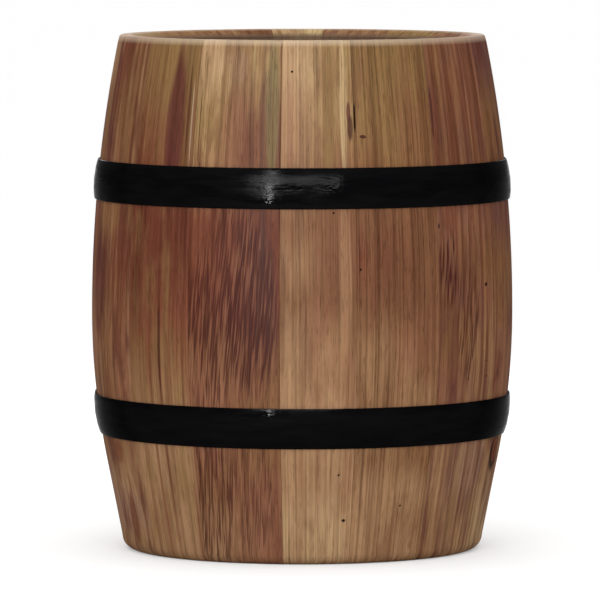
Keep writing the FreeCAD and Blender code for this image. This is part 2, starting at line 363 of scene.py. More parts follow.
def make_light(name, place, target, width, height, watts, only_mirrored):
    light = bpy.data.lights.new(name, "AREA")
    light.shape = "RECTANGLE"
    light.size, light.size_y, light.energy = width, height, watts
    lamp = bpy.data.objects.new(name, light)
    aim(lamp, place, target)
    lamp.visible_diffuse = not only_mirrored
    bpy.context.scene.collection.objects.link(lamp)


def make_studio():
    """Pale floor in a white room lit from overhead, with strip lights before and behind the keg.

    The floor and the room look white, but they light the keg less than they show, so that its
    black hoops and dark wood keep their depth.
    """
    scene = bpy.context.scene
    scene.view_settings.view_transform = "Standard"
    scene.world = bpy.data.worlds.new("white room")
    scene.world.use_nodes = True
    room = scene.world.node_tree
    direction = add(room, "ShaderNodeSeparateXYZ",
                    {0: add(room, "ShaderNodeTexCoord").outputs["Generated"]})
    overhead = add(room, "ShaderNodeMapRange",
                   {"Value": direction.outputs["Z"], "To Min": HORIZON_LIGHT,
                    "To Max": OVERHEAD_LIGHT})
    seen = add(room, "ShaderNodeLightPath").outputs["Is Camera Ray"]
    shown = add(room, "ShaderNodeMix", {"Factor": seen, "A": overhead, "B": 1.0})
    feed(room, room.nodes["Background"], {"Color": (1, 1, 1, 1), "Strength": shown})

    floor_mesh = bpy.data.meshes.new("floor")
    reach = 150.0
    corners = [(-reach, -reach, 0), (reach, -reach, 0), (reach, reach, 0), (-reach, reach, 0)]
    floor_mesh.from_pydata(corners, [], [(0, 1, 2, 3)])
    floor = bpy.data.objects.new("floor", floor_mesh)
    scene.collection.objects.link(floor)
    material, tree, shader = new_material("white studio floor")
    seen = add(tree, "ShaderNodeLightPath").outputs["Is Camera Ray"]
    glow = add(tree, "ShaderNodeMath", {0: seen, 1: FLOOR_GLOW}, operation="MULTIPLY")
    feed(tree, shader, {"Base Color": (*[FLOOR_BOUNCE] * 3, 1), "Roughness": 0.9,
                        "Specular IOR Level": 0.0, "Emission Color": (1, 1, 1, 1),
                        "Emission Strength": glow})
    floor_mesh.materials.append(material)

    for lamp in LAMPS:
        make_light(*lamp)


# ---------------- materials

def linear(code):
    """Linear colour of an sRGB hex code."""
    parts = [int(code[start:start + 2], 16) / 255 for start in (0, 2, 4)]
    return tuple(p / 12.92 if p <= 0.04045 else ((p + 0.055) / 1.055) ** 2.4 for p in parts) + (1,)


def tone(name):
    return linear(TONES[name.replace("_", " ")])


def feed(tree, node, inputs):
    """Sets a node's sockets, by name or number, to values or to what feeds them."""
    for key, value in inputs.items():
        if isinstance(key, int):
            socket = node.inputs[key]
        else:
            socket = next(s for s in node.inputs if s.enabled and s.name == key)
        if isinstance(value, bpy.types.Node):
            value = next(s for s in value.outputs if s.enabled)
        if isinstance(value, bpy.types.NodeSocket):
            tree.links.new(value, socket)
        else:
            socket.default_value = value


def add(tree, kind, inputs=None, stops=None, **settings):
    """Adds a node: settings are its properties, inputs its sockets' values or what feeds them."""
    node = tree.nodes.new(kind)
    for name, value in settings.items():
        setattr(node, name, value)
    feed(tree, node, inputs or {})
    if stops:
        elements = node.color_ramp.elements
        elements[0].position, elements[0].color = stops[0]
        elements[1].position, elements[1].color = stops[-1]
        for place, colour in stops[1:-1]:
            elements.new(place).color = colour
    return node


def new_material(name):
    """An empty material with its shader joined to its output."""
    material = bpy.data.materials.new(name)
    material.use_nodes = True
    tree = material.node_tree
    tree.nodes.clear()
    shader = add(tree, "ShaderNodeBsdfPrincipled")
    add(tree, "ShaderNodeOutputMaterial", {"Surface": shader})
    return material, tree, shader


def sheen(tree, shader, level):
    """Low gloss that fades edge on, for the sake of the dark tones: a real coat's grows there."""
    facing = add(tree, "ShaderNodeLayerWeight", {"Blend": 0.5}).outputs["Facing"]
    dulled = add(tree, "ShaderNodeMapRange",
                 {"Value": facing, "From Min": 0.05, "From Max": 0.5, "To Min": level,
                  "To Max": EDGE_ON_SHARE * level})
    feed(tree, shader, {"Specular IOR Level": dulled})


def drawn_noise(tree, place, across, depth, along, detail, seed):
    """Noise whose cells have these sizes in mm across, into and along the grain."""
    scale = (1 / (across * MM), 1 / (depth * MM), 1 / (along * MM))
    mapped = add(tree, "ShaderNodeMapping",
                 {"Vector": place, "Location": (seed * 7.3, seed * 3.1, seed * 5.7), "Scale": scale})
    return add(tree, "ShaderNodeTexNoise", {"Vector": mapped, "Scale": 1.0, "Detail": detail})


def oak(name, look, width, seed, marks=(), turned=None):
    """European oak, planed, oiled and varnished to a satin gloss.

    It is ring-porous, so it shows growth lines about 3 mm apart and short open pores along the
    grain, with redder heartwood streaks. turned is the turn that lays a piece's grain along Z
    where it has no grain attribute of its own.
    """
    look = {**USUAL_LOOK, **look}
    material, tree, shader = new_material(name)
    if turned is None:
        grain = add(tree, "ShaderNodeAttribute", attribute_name="grain").outputs["Vector"]
    else:
        place = add(tree, "ShaderNodeTexCoord").outputs["Object"]
        grain = add(tree, "ShaderNodeMapping", {"Vector": place, "Rotation": turned}).outputs[0]
    wander = drawn_noise(tree, grain, 30, 30, 110, 1.0, seed)
    fibres = add(tree, "ShaderNodeVectorMath",
                 {0: wander.outputs["Color"], 1: (0.004, 0.004, 0.006), 2: grain},
                 operation="MULTIPLY_ADD")
    leaning = add(tree, "ShaderNodeMapping",
                  {"Vector": fibres, "Rotation": (0, math.radians(-FIGURE_LEAN), 0)})

    years = drawn_noise(tree, fibres, 1.5, 9, 190, 1.5, seed + 1)
    streaks = drawn_noise(tree, fibres, 4.5, 12, 110, 3.0, seed + 2)
    # Pores are drawn 0.8 mm across, coarser than the real 0.3 mm, so that they show
    pores = drawn_noise(tree, fibres, 0.8, 0.8, 11, 1.0, seed + 3)
    bands = drawn_noise(tree, fibres, 6, 14, 230, 1.0, seed + 6)
    blotches = drawn_noise(tree, fibres, 13, 13, 45, 3.0, seed + 4)
    heart = drawn_noise(tree, leaning, 1.3, 8, 30, 1.0, seed + 5)

    parts = add(tree, "ShaderNodeSeparateXYZ", {0: fibres})
    base_height = add(tree, "ShaderNodeMath",
                      {0: parts.outputs["Z"], 1: 1 / HEIGHT, 2: -0.06}, operation="MULTIPLY_ADD")
    height = add(tree, "ShaderNodeMath", {0: streaks, 1: 0.12, 2: base_height},
                 operation="MULTIPLY_ADD")

    def up_the_stave(tones):
        stops = [(z * MM / HEIGHT, tone(each)) for z, each in zip(TONE_HEIGHTS, tones.split())]
        return add(tree, "ShaderNodeValToRGB", {"Fac": height}, stops)

    colour = up_the_stave(look["left"])
    if "right" in look:
        side = add(tree, "ShaderNodeMapRange",
                   {"Value": parts.outputs["X"], "From Min": -width / 3, "From Max": width / 3},
                   interpolation_type="SMOOTHSTEP")
        colour = add(tree, "ShaderNodeMix",
                     {"Factor": side, "A": colour, "B": up_the_stave(look["right"])},
                     data_type="RGBA")

    for layer, strength, shift in ((bands, look["bands"], look["band"]),
                                   (blotches, look["blotches"], look["blush"])):
        amount = add(tree, "ShaderNodeMapRange",
                     {"Value": layer, "From Min": 0.48, "From Max": 0.68, "To Max": strength})
        colour = add(tree, "ShaderNodeMix", {"Factor": amount, "A": colour, "B": tone(shift)},
                     data_type="RGBA")

    def nearness(across, z, half_width, half_height, strength):
        """How far a mark at this place, in metres across and mm up, colours the wood."""
        sizes = (1 / (half_width * MM), 0, 1 / (half_height * MM))
        centre = (-across * sizes[0], 0, -z * MM * sizes[2])
        near = add(tree, "ShaderNodeMapping",
                   {"Vector": fibres, "Location": centre, "Scale": sizes})
        ball = add(tree, "ShaderNodeTexGradient", {"Vector": near}, gradient_type="SPHERICAL")
        return add(tree, "ShaderNodeMapRange",
                   {"Value": ball.outputs["Fac"], "From Max": 0.4, "To Max": strength},
                   interpolation_type="SMOOTHSTEP")

    for kind, *where, mark_tone, strength in marks:
        if kind == "patch":
            colour = add(tree, "ShaderNodeMix",
                         {"Factor": nearness(*where, strength), "A": colour,
                          "B": tone(mark_tone)}, data_type="RGBA")

    # Growth lines, streaks and pores each darken the wood, redder where they are deepest
    white = (1, 1, 1, 1)
    for layer, strength, dark, low, high in (
        (streaks, look["streaks"], (0.50, 0.43, 0.38, 1), 0.32, 0.56),
        (years, look["lines"], (0.46, 0.40, 0.34, 1), 0.30, 0.54),
        (pores, look["pores"], (0.40, 0.34, 0.30, 1), 0.28, 0.44),
    ):
        shade = add(tree, "ShaderNodeValToRGB", {"Fac": layer}, [(low, dark), (high, white)])
        colour = add(tree, "ShaderNodeMix", {"Factor": strength, "A": colour, "B": shade},
                     data_type="RGBA", blend_type="MULTIPLY")

    # The bold figure: dark streaks with paler wood between them
    pale = add(tree, "ShaderNodeMapRange",
               {"Value": heart, "From Min": 0.46, "From Max": 0.36, "To Max": 0.36})
    dark = add(tree, "ShaderNodeMapRange", {"Value": heart, "From Min": 0.48, "From Max": 0.58})
    for kind, *where, mark_tone, strength in marks:
        if kind == "streaks":
            amount = nearness(*where, strength)
            for part, shift in ((pale, "chestnut"), (dark, mark_tone)):
                factor = add(tree, "ShaderNodeMath", {0: amount, 1: part}, operation="MULTIPLY")
                colour = add(tree, "ShaderNodeMix",
                             {"Factor": factor, "A": colour, "B": tone(shift)}, data_type="RGBA")

    if turned is None:
        # Round the outside of the rim, pale sanded wood that is also a painted highlight; inside,
        # grey unvarnished wood that is also painted shade; flaws painted darker the deeper they go
        true_place = add(tree, "ShaderNodeSeparateXYZ", {0: grain})
        outer = add(tree, "ShaderNodeMapRange",
                    {"Value": true_place.outputs["Y"], "From Min": 9 * MM, "From Max": 12 * MM,
                     "To Min": 0.34, "To Max": 0.0})
        # Painted highlight, on sanded wood, along the outside of the rim
        sanded_rim_highlight = add(tree, "ShaderNodeMapRange",
                  {"Value": true_place.outputs["Z"], "From Min": HEIGHT - 5 * MM,
                   "From Max": HEIGHT - 1.5 * MM, "To Max": outer})
        # Grey of the inner wall: unvarnished wood, partly painted shade
        inside = add(tree, "ShaderNodeMapRange",
                     {"Value": true_place.outputs["Y"], "From Min": 15 * MM,
                      "From Max": 19 * MM, "To Max": 0.75})
        hollow = add(tree, "ShaderNodeAttribute", attribute_name="hollow").outputs["Fac"]
        for amount, overlay_tone in ((sanded_rim_highlight, "cream"), (inside, "raw grey"), (hollow, "char")):
            colour = add(tree, "ShaderNodeMix", {"Factor": amount, "A": colour, "B": tone(overlay_tone)},
                         data_type="RGBA")

    roughness = add(tree, "ShaderNodeMapRange",
                    {"Value": streaks, "From Min": 0.3, "From Max": 0.7, "To Min": 0.44,
                     "To Max": 0.60})
    grooves = add(tree, "ShaderNodeMath", {0: pores, 1: 0.5, 2: years}, operation="MULTIPLY_ADD")
    bump = add(tree, "ShaderNodeBump",
               {"Height": grooves, "Strength": 0.35, "Distance": 0.25 * MM})
    feed(tree, shader, {"Base Color": colour, "Roughness": roughness, "Normal": bump})
    sheen(tree, shader, VARNISH_GLOSS)
    return material


def hoop_paint():
    """Mild steel strip in brushed black gloss enamel: it mirrors softly and unevenly."""
    material, tree, shader = new_material("black enamel on mild steel")
    place = add(tree, "ShaderNodeTexCoord").outputs["Object"]
    brushed = drawn_noise(tree, place, 26, 26, 5, 3.0, 4)
    # The paint's orange peel is drawn 4 mm across, coarser than real, so that it shows
    orange_peel = drawn_noise(tree, place, 4, 4, 3, 2.0, 9)
    colour = add(tree, "ShaderNodeValToRGB", {"Fac": brushed},
                 [(0.3, linear("030304")), (0.75, linear("070708"))])
    roughness = add(tree, "ShaderNodeMapRange",
                    {"Value": brushed, "From Min": 0.35, "From Max": 0.65, "To Min": 0.05,
                     "To Max": 0.24})
    height = add(tree, "ShaderNodeMath", {0: orange_peel, 1: 0.25, 2: brushed},
                 operation="MULTIPLY_ADD")
    bump = add(tree, "ShaderNodeBump", {"Height": height, "Strength": 0.5, "Distance": 0.6 * MM})
    feed(tree, shader, {"Base Color": colour, "Roughness": roughness, "Normal": bump})
    sheen(tree, shader, ENAMEL_GLOSS)
    return material


def rivet_steel():
    """Mild steel rivet, cold headed, with the same enamel worn thin on its crown."""
    material, tree, shader = new_material("enamelled mild steel rivet")
    place = add(tree, "ShaderNodeTexCoord").outputs["Object"]
    worn = drawn_noise(tree, place, 2.5, 2.5, 2.5, 3.0, 2)
    colour = add(tree, "ShaderNodeValToRGB", {"Fac": worn},
                 [(0.45, linear("0a0b0c")), (0.75, linear("2b2a29"))])
    roughness = add(tree, "ShaderNodeMapRange", {"Value": worn, "To Min": 0.3, "To Max": 0.55})
    feed(tree, shader, {"Base Color": colour, "Roughness": roughness, "Specular IOR Level": 0.3})
    return material


def rush():
    """Dry rush leaf pressed between boards: pale straw with fine lengthwise fibres."""
    material, tree, shader = new_material("dry rush")
    place = add(tree, "ShaderNodeTexCoord").outputs["Object"]
    level = add(tree, "ShaderNodeMapping",
                {"Vector": place, "Rotation": (0, 0, math.radians(-45))})
    # Fibres are drawn 0.4 mm apart, coarser than real, so that they show
    fibre = drawn_noise(tree, level, 14, 0.4, 0.6, 2.0, 3)
    colour = add(tree, "ShaderNodeValToRGB", {"Fac": fibre},
                 [(0.3, linear("6d5735")), (0.7, linear("b79d69"))])
    roughness = add(tree, "ShaderNodeMapRange", {"Value": fibre, "To Min": 0.75, "To Max": 0.9})
    feed(tree, shader, {"Base Color": colour, "Roughness": roughness})
    return material


# ---------------- meshes

def place_piece(name, mesh, material, body, node):
    """Puts a finished mesh in the scene, riding a body in place of a CAD node."""
    mesh.materials.clear()
    mesh.materials.append(material)
    piece = bpy.data.objects.new(name, mesh)
    bpy.context.scene.collection.objects.link(piece)
    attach(piece, body)
    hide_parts(node)


def close_up(mesh, crease=35):
    """Merges doubles, fills open ends, turns faces outwards and keeps corners crisp."""
    shape = bmesh.new()
    shape.from_mesh(mesh)
    bmesh.ops.remove_doubles(shape, verts=shape.verts, dist=1e-6)
    bmesh.ops.holes_fill(shape, edges=[e for e in shape.edges if e.is_boundary])
    bmesh.ops.recalc_face_normals(shape, faces=shape.faces)
    shape.to_mesh(mesh)
    shape.free()
    mesh.shade_smooth()
    mesh.set_sharp_from_angle(angle=math.radians(crease))


def stave_turns(name):
    """First and last turn of a stave, in radians, read from its CAD solid."""
    mesh = bpy.data.objects[name].data
    low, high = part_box(name)
    middle = math.atan2(low[1] + high[1], low[0] + high[0])
    turns = [math.remainder(math.atan2(v.co.y, v.co.x) - middle, math.tau) for v in mesh.vertices]
    return middle + min(turns), middle + max(turns)


def flaws_of(first, last):
    """Flaws that lie between these turns: kind, turn, height, half width, half height."""
    found = []
    for kind, degrees, z, half_width, half_height in FLAWS:
        middle = (first + last) / 2
        away = math.remainder(math.radians(FRONT + degrees) - middle, math.tau)
        if abs(away) < (last - first) / 2:
            found.append((kind, middle + away, z * MM, half_width * MM, half_height * MM))
    return found


def relief(flaws, turn, z):
    """How deep the flaws of a stave reach below its face at this place."""
    deepest = 0.0
    for kind, flaw_turn, flaw_z, half_width, half_height in flaws:
        across = (turn - flaw_turn) * BILGE_RADIUS / half_width
        along = (z - flaw_z) / half_height
        away = math.hypot(across, along)
        if kind == "pin":
            depth = PIN_DEPTH * smooth(1.3 - away)
        elif kind == "check":
            depth = CHECK_DEPTH * smooth(1 - abs(across)) * smooth(1.5 * (1 - abs(along)))
        else:
            ring = smooth(1 - abs(away - 0.85) / 0.22)
            split = smooth(1 - abs(across - 0.3 * along) / 0.16) * smooth(1.6 * (0.7 - abs(along)))
            depth = KNOT_RING_DEPTH * ring + KNOT_SPLIT_DEPTH * split
        deepest = max(deepest, depth)
    return deepest


def refined(values, centres, low, high):
    """These values with finer ones added round each centre, given with its reach."""
    extra = []
    for centre, reach, count in centres:
        extra += [centre + reach * (2 * place / count - 1) for place in range(count + 1)]
    kept = []
    for value in sorted(values + [each for each in extra if low < each < high]):
        if not kept or value - kept[-1] > 1e-6:
            kept.append(value)
    return kept


def stave_outline(outer_heights):
    """Closed outline of a stave cut along its length: (radius, height, is it on the outside)."""
    inner = STAVE_THICKNESS
    round_middle = wall_radius(FOOT_ROUND, FOOT_ROUND)
    points = []
    for turn in steps(-math.pi / 2, -FOOT_TAPER, math.radians(13)):
        points.append((round_middle + FOOT_ROUND * math.cos(turn),
                       FOOT_ROUND + FOOT_ROUND * math.sin(turn), False))
    points += [(wall_radius(z), z, True) for z in outer_heights]
    rim_edge = wall_radius(HEIGHT - RIM_ROUND) - RIM_BEVEL_DEPTH
    points += [(rim_edge - back * RIM_ROUND, HEIGHT - down * RIM_ROUND, False)
               for back, down in ((0, 1), (0.35, 0.35), (1, 0))]
    points += [(rim_edge - RIM_ROUND - share * RIM_LAND, HEIGHT, False) for share in (0.5, 1)]
    start = HEIGHT - CHIME_BEVEL_HEIGHT
    for middle in HEAD_MIDDLES:
        floor = wall_radius(middle, inner) + CROZE_DEPTH
        half = CROZE_WIDTH / 2
        points += [(wall_radius(z, inner), z, False)
                   for z in steps(start, middle + half, INNER_STEP)]
        points += [(floor, middle + 0.86 * half, False), (floor, middle - 0.86 * half, False)]
        start = middle - half
    points += [(wall_radius(z, inner), z, False)
               for z in steps(start, CHIME_BEVEL_HEIGHT, INNER_STEP)]
    points.append((round_middle - FOOT_LAND, 0.0, False))
    return points


def outline_normals(points):
    """Outward direction at each point of an outline that runs anticlockwise."""
    normals = []
    for number, (radius, z, _) in enumerate(points):
        before, after = points[number - 1], points[(number + 1) % len(points)]
        along = Vector((after[0] - before[0], after[1] - before[1])).normalized()
        normals.append(Vector((along.y, -along.x)))
    return normals


def stave_mesh(name, first, last, flaws, sunk):
    """One stave with eased arrises and its flaws cut in, set in by sunk."""
    columns = [(first, ARRIS), (first + 0.15 * MM / BILGE_RADIUS, 0.4 * ARRIS),
               (first + ARRIS / BILGE_RADIUS, 0.06 * ARRIS)]
    columns += [(last - (turn - first), ease) for turn, ease in reversed(columns)]
    inside = steps(first + 0.9 * MM / BILGE_RADIUS, last - 0.9 * MM / BILGE_RADIUS,
                   COLUMN_STEP / BILGE_RADIUS)
    counts = {"pin": 8, "check": 6, "knot": 26}
    centres = [(turn, 1.5 * wide / BILGE_RADIUS, counts[kind])
               for kind, turn, _, wide, _ in flaws]
    inside = refined(inside, centres, inside[0], inside[-1])
    columns = columns[:3] + [(turn, 0.0) for turn in inside] + columns[3:]

    low, high = FOOT_ROUND * (1 - math.sin(FOOT_TAPER)), HEIGHT - RIM_BEVEL_HEIGHT
    rows = steps(low, high, OUTER_STEP)[1:]
    centres = [(z, 1.5 * tall, counts[kind]) for kind, _, z, _, tall in flaws]
    rows = refined(rows, centres, low + 1 * MM, high)
    points = stave_outline(rows)
    normals = outline_normals(points)

    verts, faces = [], []
    count = len(points)
    for turn, ease in columns:
        for (radius, z, outside), normal in zip(points, normals):
            inset = ease
            if outside:
                swell = noise.noise(Vector((turn * 6, z * 9, sunk * 4000)))
                inset += sunk + SWELL * (1 + swell) + relief(flaws, turn, z)
            distance = radius - normal.x * inset
            verts.append((distance * math.cos(turn), distance * math.sin(turn),
                          z - normal.y * inset))
    for column in range(len(columns) - 1):
        for row in range(count):
            here, there = column * count, (column + 1) * count
            after = (row + 1) % count
            faces.append((here + row, there + row, there + after, here + after))
    faces.append(tuple(range(count)))
    faces.append(tuple(reversed(range((len(columns) - 1) * count, len(columns) * count))))
    mesh = bpy.data.meshes.new(name)
    mesh.from_pydata(verts, [], faces)
    close_up(mesh)
    return mesh


def grain_attributes(mesh):
    """Place in the grain (across, depth, along) and hollowness of every point."""
    mesh.attributes.new("grain", "FLOAT_VECTOR", "POINT")
    mesh.attributes.new("hollow", "FLOAT", "POINT")
    return mesh.attributes["grain"], mesh.attributes["hollow"]


def mark_grain(mesh, middle, flaws):
    """Gives a stave's points their place in the grain, and where flaws are hollow."""
    grain, hollow = grain_attributes(mesh)
    for number, vert in enumerate(mesh.vertices):
        x, y, z = vert.co
        turn = math.remainder(math.atan2(y, x) - middle, math.tau)
        depth = wall_radius(z) - math.hypot(x, y)
        grain.data[number].vector = (turn * BILGE_RADIUS, depth, z)
        if depth < STAVE_THICKNESS / 2:
            hollow.data[number].value = smooth(relief(flaws, middle + turn, z) / BLACK_DEPTH)


def evaluated_mesh(source, name):
    """The mesh that an object's modifiers make of it; the object itself is removed."""
    bpy.context.scene.collection.objects.link(source)
    graph = bpy.context.evaluated_depsgraph_get()
    mesh = bpy.data.meshes.new_from_object(source.evaluated_get(graph))
    mesh.name = name
    bpy.data.objects.remove(source)
    return mesh


def turned_mesh(name, profile, start, outwards, count=72):
    """Solid turned about a line: profile is (radius, distance from start) points."""
    shape = bmesh.new()
    side = outwards.cross(Vector((0, 0, 1))).normalized()
    up = side.cross(outwards)
    rings = []
    for radius, distance in profile:
        middle = start + outwards * distance
        if radius == 0:
            rings.append([shape.verts.new(middle)] * count)
            continue
        turns = [math.tau * place / count for place in range(count)]
        rings.append([shape.verts.new(middle + (side * math.cos(t) + up * math.sin(t)) * radius)
                      for t in turns])
    for low, high in zip(rings, rings[1:]):
        for place in range(count):
            after = (place + 1) % count
            corners = list(dict.fromkeys([low[place], low[after], high[after], high[place]]))
            shape.faces.new(corners)
    mesh = bpy.data.meshes.new(name)
    shape.to_mesh(mesh)
    shape.free()
    close_up(mesh, 40)
    return mesh


def cut_bung_hole(mesh):
    """Bores the tapered hole through the bung stave and rounds its outer edge a little."""
    start = BUNG_WAY * (BILGE_RADIUS - STAVE_THICKNESS - 10 * MM) + Vector((0, 0, BILGE_HEIGHT))
    reach = STAVE_THICKNESS + 10 * MM
    edge = 0.5 * MM

    def radius(distance):
        return BUNG_HOLE_RADIUS - (reach - distance) * BUNG_TAPER

    profile = [(0, 0), (radius(0), 0), (radius(reach - 2 * edge), reach - 2 * edge),
               (radius(reach - edge) + 0.2 * edge, reach - edge),
               (radius(reach) + edge, reach), (radius(reach) + 12 * edge, reach + 8 * MM),
               (0, reach + 8 * MM)]
    cutter = bpy.data.objects.new("cutter", turned_mesh("cutter", profile, start, BUNG_WAY, 96))
    bpy.context.scene.collection.objects.link(cutter)
    stave = bpy.data.objects.new("bored", mesh)
    cut = stave.modifiers.new("bore", "BOOLEAN")
    cut.object = cutter
    cut.solver = "EXACT"
    bored = evaluated_mesh(stave, "bung_stave_bored")
    bpy.data.objects.remove(cutter)
    close_up(bored)
    return bored


def make_staves():
    chance = random.Random(12)
    for number, name in enumerate(STAVE_NAMES):
        first, last = stave_turns(name)
        middle, width = (first + last) / 2, (last - first) * BILGE_RADIUS
        flaws = flaws_of(first, last)
        look = LOOKS.get(name) or BACK_LOOKS[BACK_STAVES[name]]
        marks = []
        for kind, degrees, z, half_width, half_height, mark_tone, strength in MARKS:
            away = math.remainder(math.radians(FRONT + degrees) - middle, math.tau)
            if abs(away) * BILGE_RADIUS < width / 2 + half_width * MM / 2:
                marks.append((kind, away * BILGE_RADIUS, z, half_width, half_height, mark_tone,
                              strength))
        if name == "bung_stave":
            burnt = BUNG_HOLE_RADIUS / MM
            marks.append(("patch", 0.0, BILGE_HEIGHT / MM, 1.5 * burnt, 1.7 * burnt, "umber", 0.8))
        mesh = stave_mesh(f"{name}_detailed", first, last, flaws, chance.uniform(0, MOST_SUNK) * MM)
        if name == "bung_stave":
            mesh = cut_bung_hole(mesh)
        mark_grain(mesh, middle, flaws)
        material = oak(f"varnished oak {name}", look, width, 10 + 3 * number, marks)
        place_piece(f"{name}_wood", mesh, material, "cask", name)


def new_tree(name, sizes):
    """A geometry node tree whose named inputs are these sizes."""
    tree = bpy.data.node_groups.new(name, "GeometryNodeTree")
    for label, value in sizes.items():
        kind = {int: "NodeSocketInt", float: "NodeSocketFloat"}.get(type(value))
        tree.interface.new_socket(label, in_out="INPUT", socket_type=kind or "NodeSocketMaterial")
    tree.interface.new_socket("Mesh", in_out="OUTPUT", socket_type="NodeSocketGeometry")
    return tree


def grow(name, tree, sizes):
    """Runs a tree with these sizes and keeps its result as a plain mesh."""
    source = bpy.data.objects.new(name, bpy.data.meshes.new(name))
    modifier = source.modifiers.new("nodes", "NODES")
    modifier.node_group = tree
    for item in tree.interface.items_tree:
        if item.in_out == "INPUT":
            modifier[item.identifier] = sizes[item.name]
    return evaluated_mesh(source, name)


def round_the_keg(tree, turn, radius, height):
    """The place at this turn, this far from the keg's axis and this high up it."""
    level = []
    for wave in ("COSINE", "SINE"):
        swing = add(tree, "ShaderNodeMath", {0: turn}, operation=wave)
        level.append(add(tree, "ShaderNodeMath", {0: radius, 1: swing}, operation="MULTIPLY"))
    return add(tree, "ShaderNodeCombineXYZ", {0: level[0], 1: level[1], 2: height})


def finish_tree(tree, shape, material):
    """Makes a tree's shape real, gives it its material and hands it out."""
    real = add(tree, "GeometryNodeRealizeInstances", {"Geometry": shape})
    painted = add(tree, "GeometryNodeSetMaterial", {"Geometry": real, "Material": material})
    add(tree, "NodeGroupOutput", {"Mesh": painted})
    return tree


def hoop_tree(sizes):
    """A dished strip carried round the staves, climbing onto its own first end.

    A flat grid is wrapped: its X runs round the keg, its Y round the strip's own section.
    """
    tree = new_tree("hoop strip", sizes)
    given = add(tree, "NodeGroupInput").outputs
    grid = add(tree, "GeometryNodeMeshGrid",
               {"Size X": 1.0, "Size Y": 1.0, "Vertices X": given["Steps round"],
                "Vertices Y": given["Steps across"]})
    place = add(tree, "ShaderNodeSeparateXYZ", {0: add(tree, "GeometryNodeInputPosition")})
    whole = add(tree, "ShaderNodeMath", {0: given["Lap angle"], 1: math.tau}, operation="ADD")
    half_way = add(tree, "ShaderNodeMath", {0: place.outputs["X"], 1: 0.5}, operation="ADD")
    travelled = add(tree, "ShaderNodeMath", {0: half_way, 1: whole}, operation="MULTIPLY")
    turn = add(tree, "ShaderNodeMath", {0: travelled, 1: given["Seam angle"]}, operation="ADD")
    ramp_start = add(tree, "ShaderNodeMath", {0: math.tau, 1: given["Ramp angle"]},
                     operation="SUBTRACT")
    climb = add(tree, "ShaderNodeMapRange",
                {"Value": travelled, "From Min": ramp_start, "From Max": math.tau,
                 "To Min": 0.0, "To Max": given["Lap lift"]},
                interpolation_type="SMOOTHSTEP")

    # Section: a flat strip with rounded edges, as a squared-up ring
    loop = add(tree, "ShaderNodeMath", {0: place.outputs["Y"], 1: math.tau}, operation="MULTIPLY")
    section = []
    for wave in ("COSINE", "SINE"):
        swing = add(tree, "ShaderNodeMath", {0: loop}, operation=wave)
        size = add(tree, "ShaderNodeMath", {0: swing}, operation="ABSOLUTE")
        squared = add(tree, "ShaderNodeMath", {0: size, 1: given["Squareness"]},
                      operation="POWER")
        sign = add(tree, "ShaderNodeMath", {0: swing}, operation="SIGN")
        section.append(add(tree, "ShaderNodeMath", {0: squared, 1: sign}, operation="MULTIPLY"))
    across, through = section
    height = add(tree, "ShaderNodeMath",
                 {0: across, 1: given["Half width"], 2: given["Middle height"]},
                 operation="MULTIPLY_ADD")
    from_middle = add(tree, "ShaderNodeMath", {0: across, 1: across}, operation="MULTIPLY")
    crown = add(tree, "ShaderNodeMath", {0: 1.0, 1: from_middle}, operation="SUBTRACT")
    dished = add(tree, "ShaderNodeMath", {0: crown, 1: given["Dish"], 2: climb},
                 operation="MULTIPLY_ADD")
    half_thick = add(tree, "ShaderNodeMath", {0: given["Thickness"], 1: 0.5},
                     operation="MULTIPLY")
    layer = add(tree, "ShaderNodeMath", {0: through, 1: half_thick, 2: dished},
                operation="MULTIPLY_ADD")
    out = add(tree, "ShaderNodeMath", {0: layer, 1: half_thick}, operation="ADD")
    stand = add(tree, "ShaderNodeMath", {0: out, 1: given["Gap"]}, operation="ADD")

    # Radius of the wall at this height, this far outside the staves
    bend = add(tree, "ShaderNodeMath", {0: given["Bend radius"], 1: stand}, operation="ADD")
    rise = add(tree, "ShaderNodeMath", {0: height, 1: given["Bilge height"]},
               operation="SUBTRACT")
    squares = [add(tree, "ShaderNodeMath", {0: side, 1: side}, operation="MULTIPLY")
               for side in (bend, rise)]
    reach = add(tree, "ShaderNodeMath", dict(enumerate(squares)), operation="SUBTRACT")
    bow = add(tree, "ShaderNodeMath", {0: reach}, operation="SQRT")
    centre = add(tree, "ShaderNodeMath", {0: given["Bilge radius"], 1: given["Bend radius"]},
                 operation="SUBTRACT")
    radius = add(tree, "ShaderNodeMath", {0: bow, 1: centre}, operation="ADD")

    # The strip is a little uneven from rolling and driving
    spot = round_the_keg(tree, turn, 1.0, height)
    wave = add(tree, "ShaderNodeTexNoise", {"Vector": spot, "Scale": 7.0, "Detail": 1.0})
    uneven = add(tree, "ShaderNodeMath", {0: wave.outputs[0], 1: given["Unevenness"], 2: radius},
                 operation="MULTIPLY_ADD")
    wrapped = round_the_keg(tree, turn, uneven, height)
    strip = add(tree, "GeometryNodeSetPosition",
                {"Geometry": grid.outputs["Mesh"], "Position": wrapped})
    joined = add(tree, "GeometryNodeMergeByDistance", {"Geometry": strip, "Distance": 1e-6})
    return finish_tree(tree, joined, given["Material"])


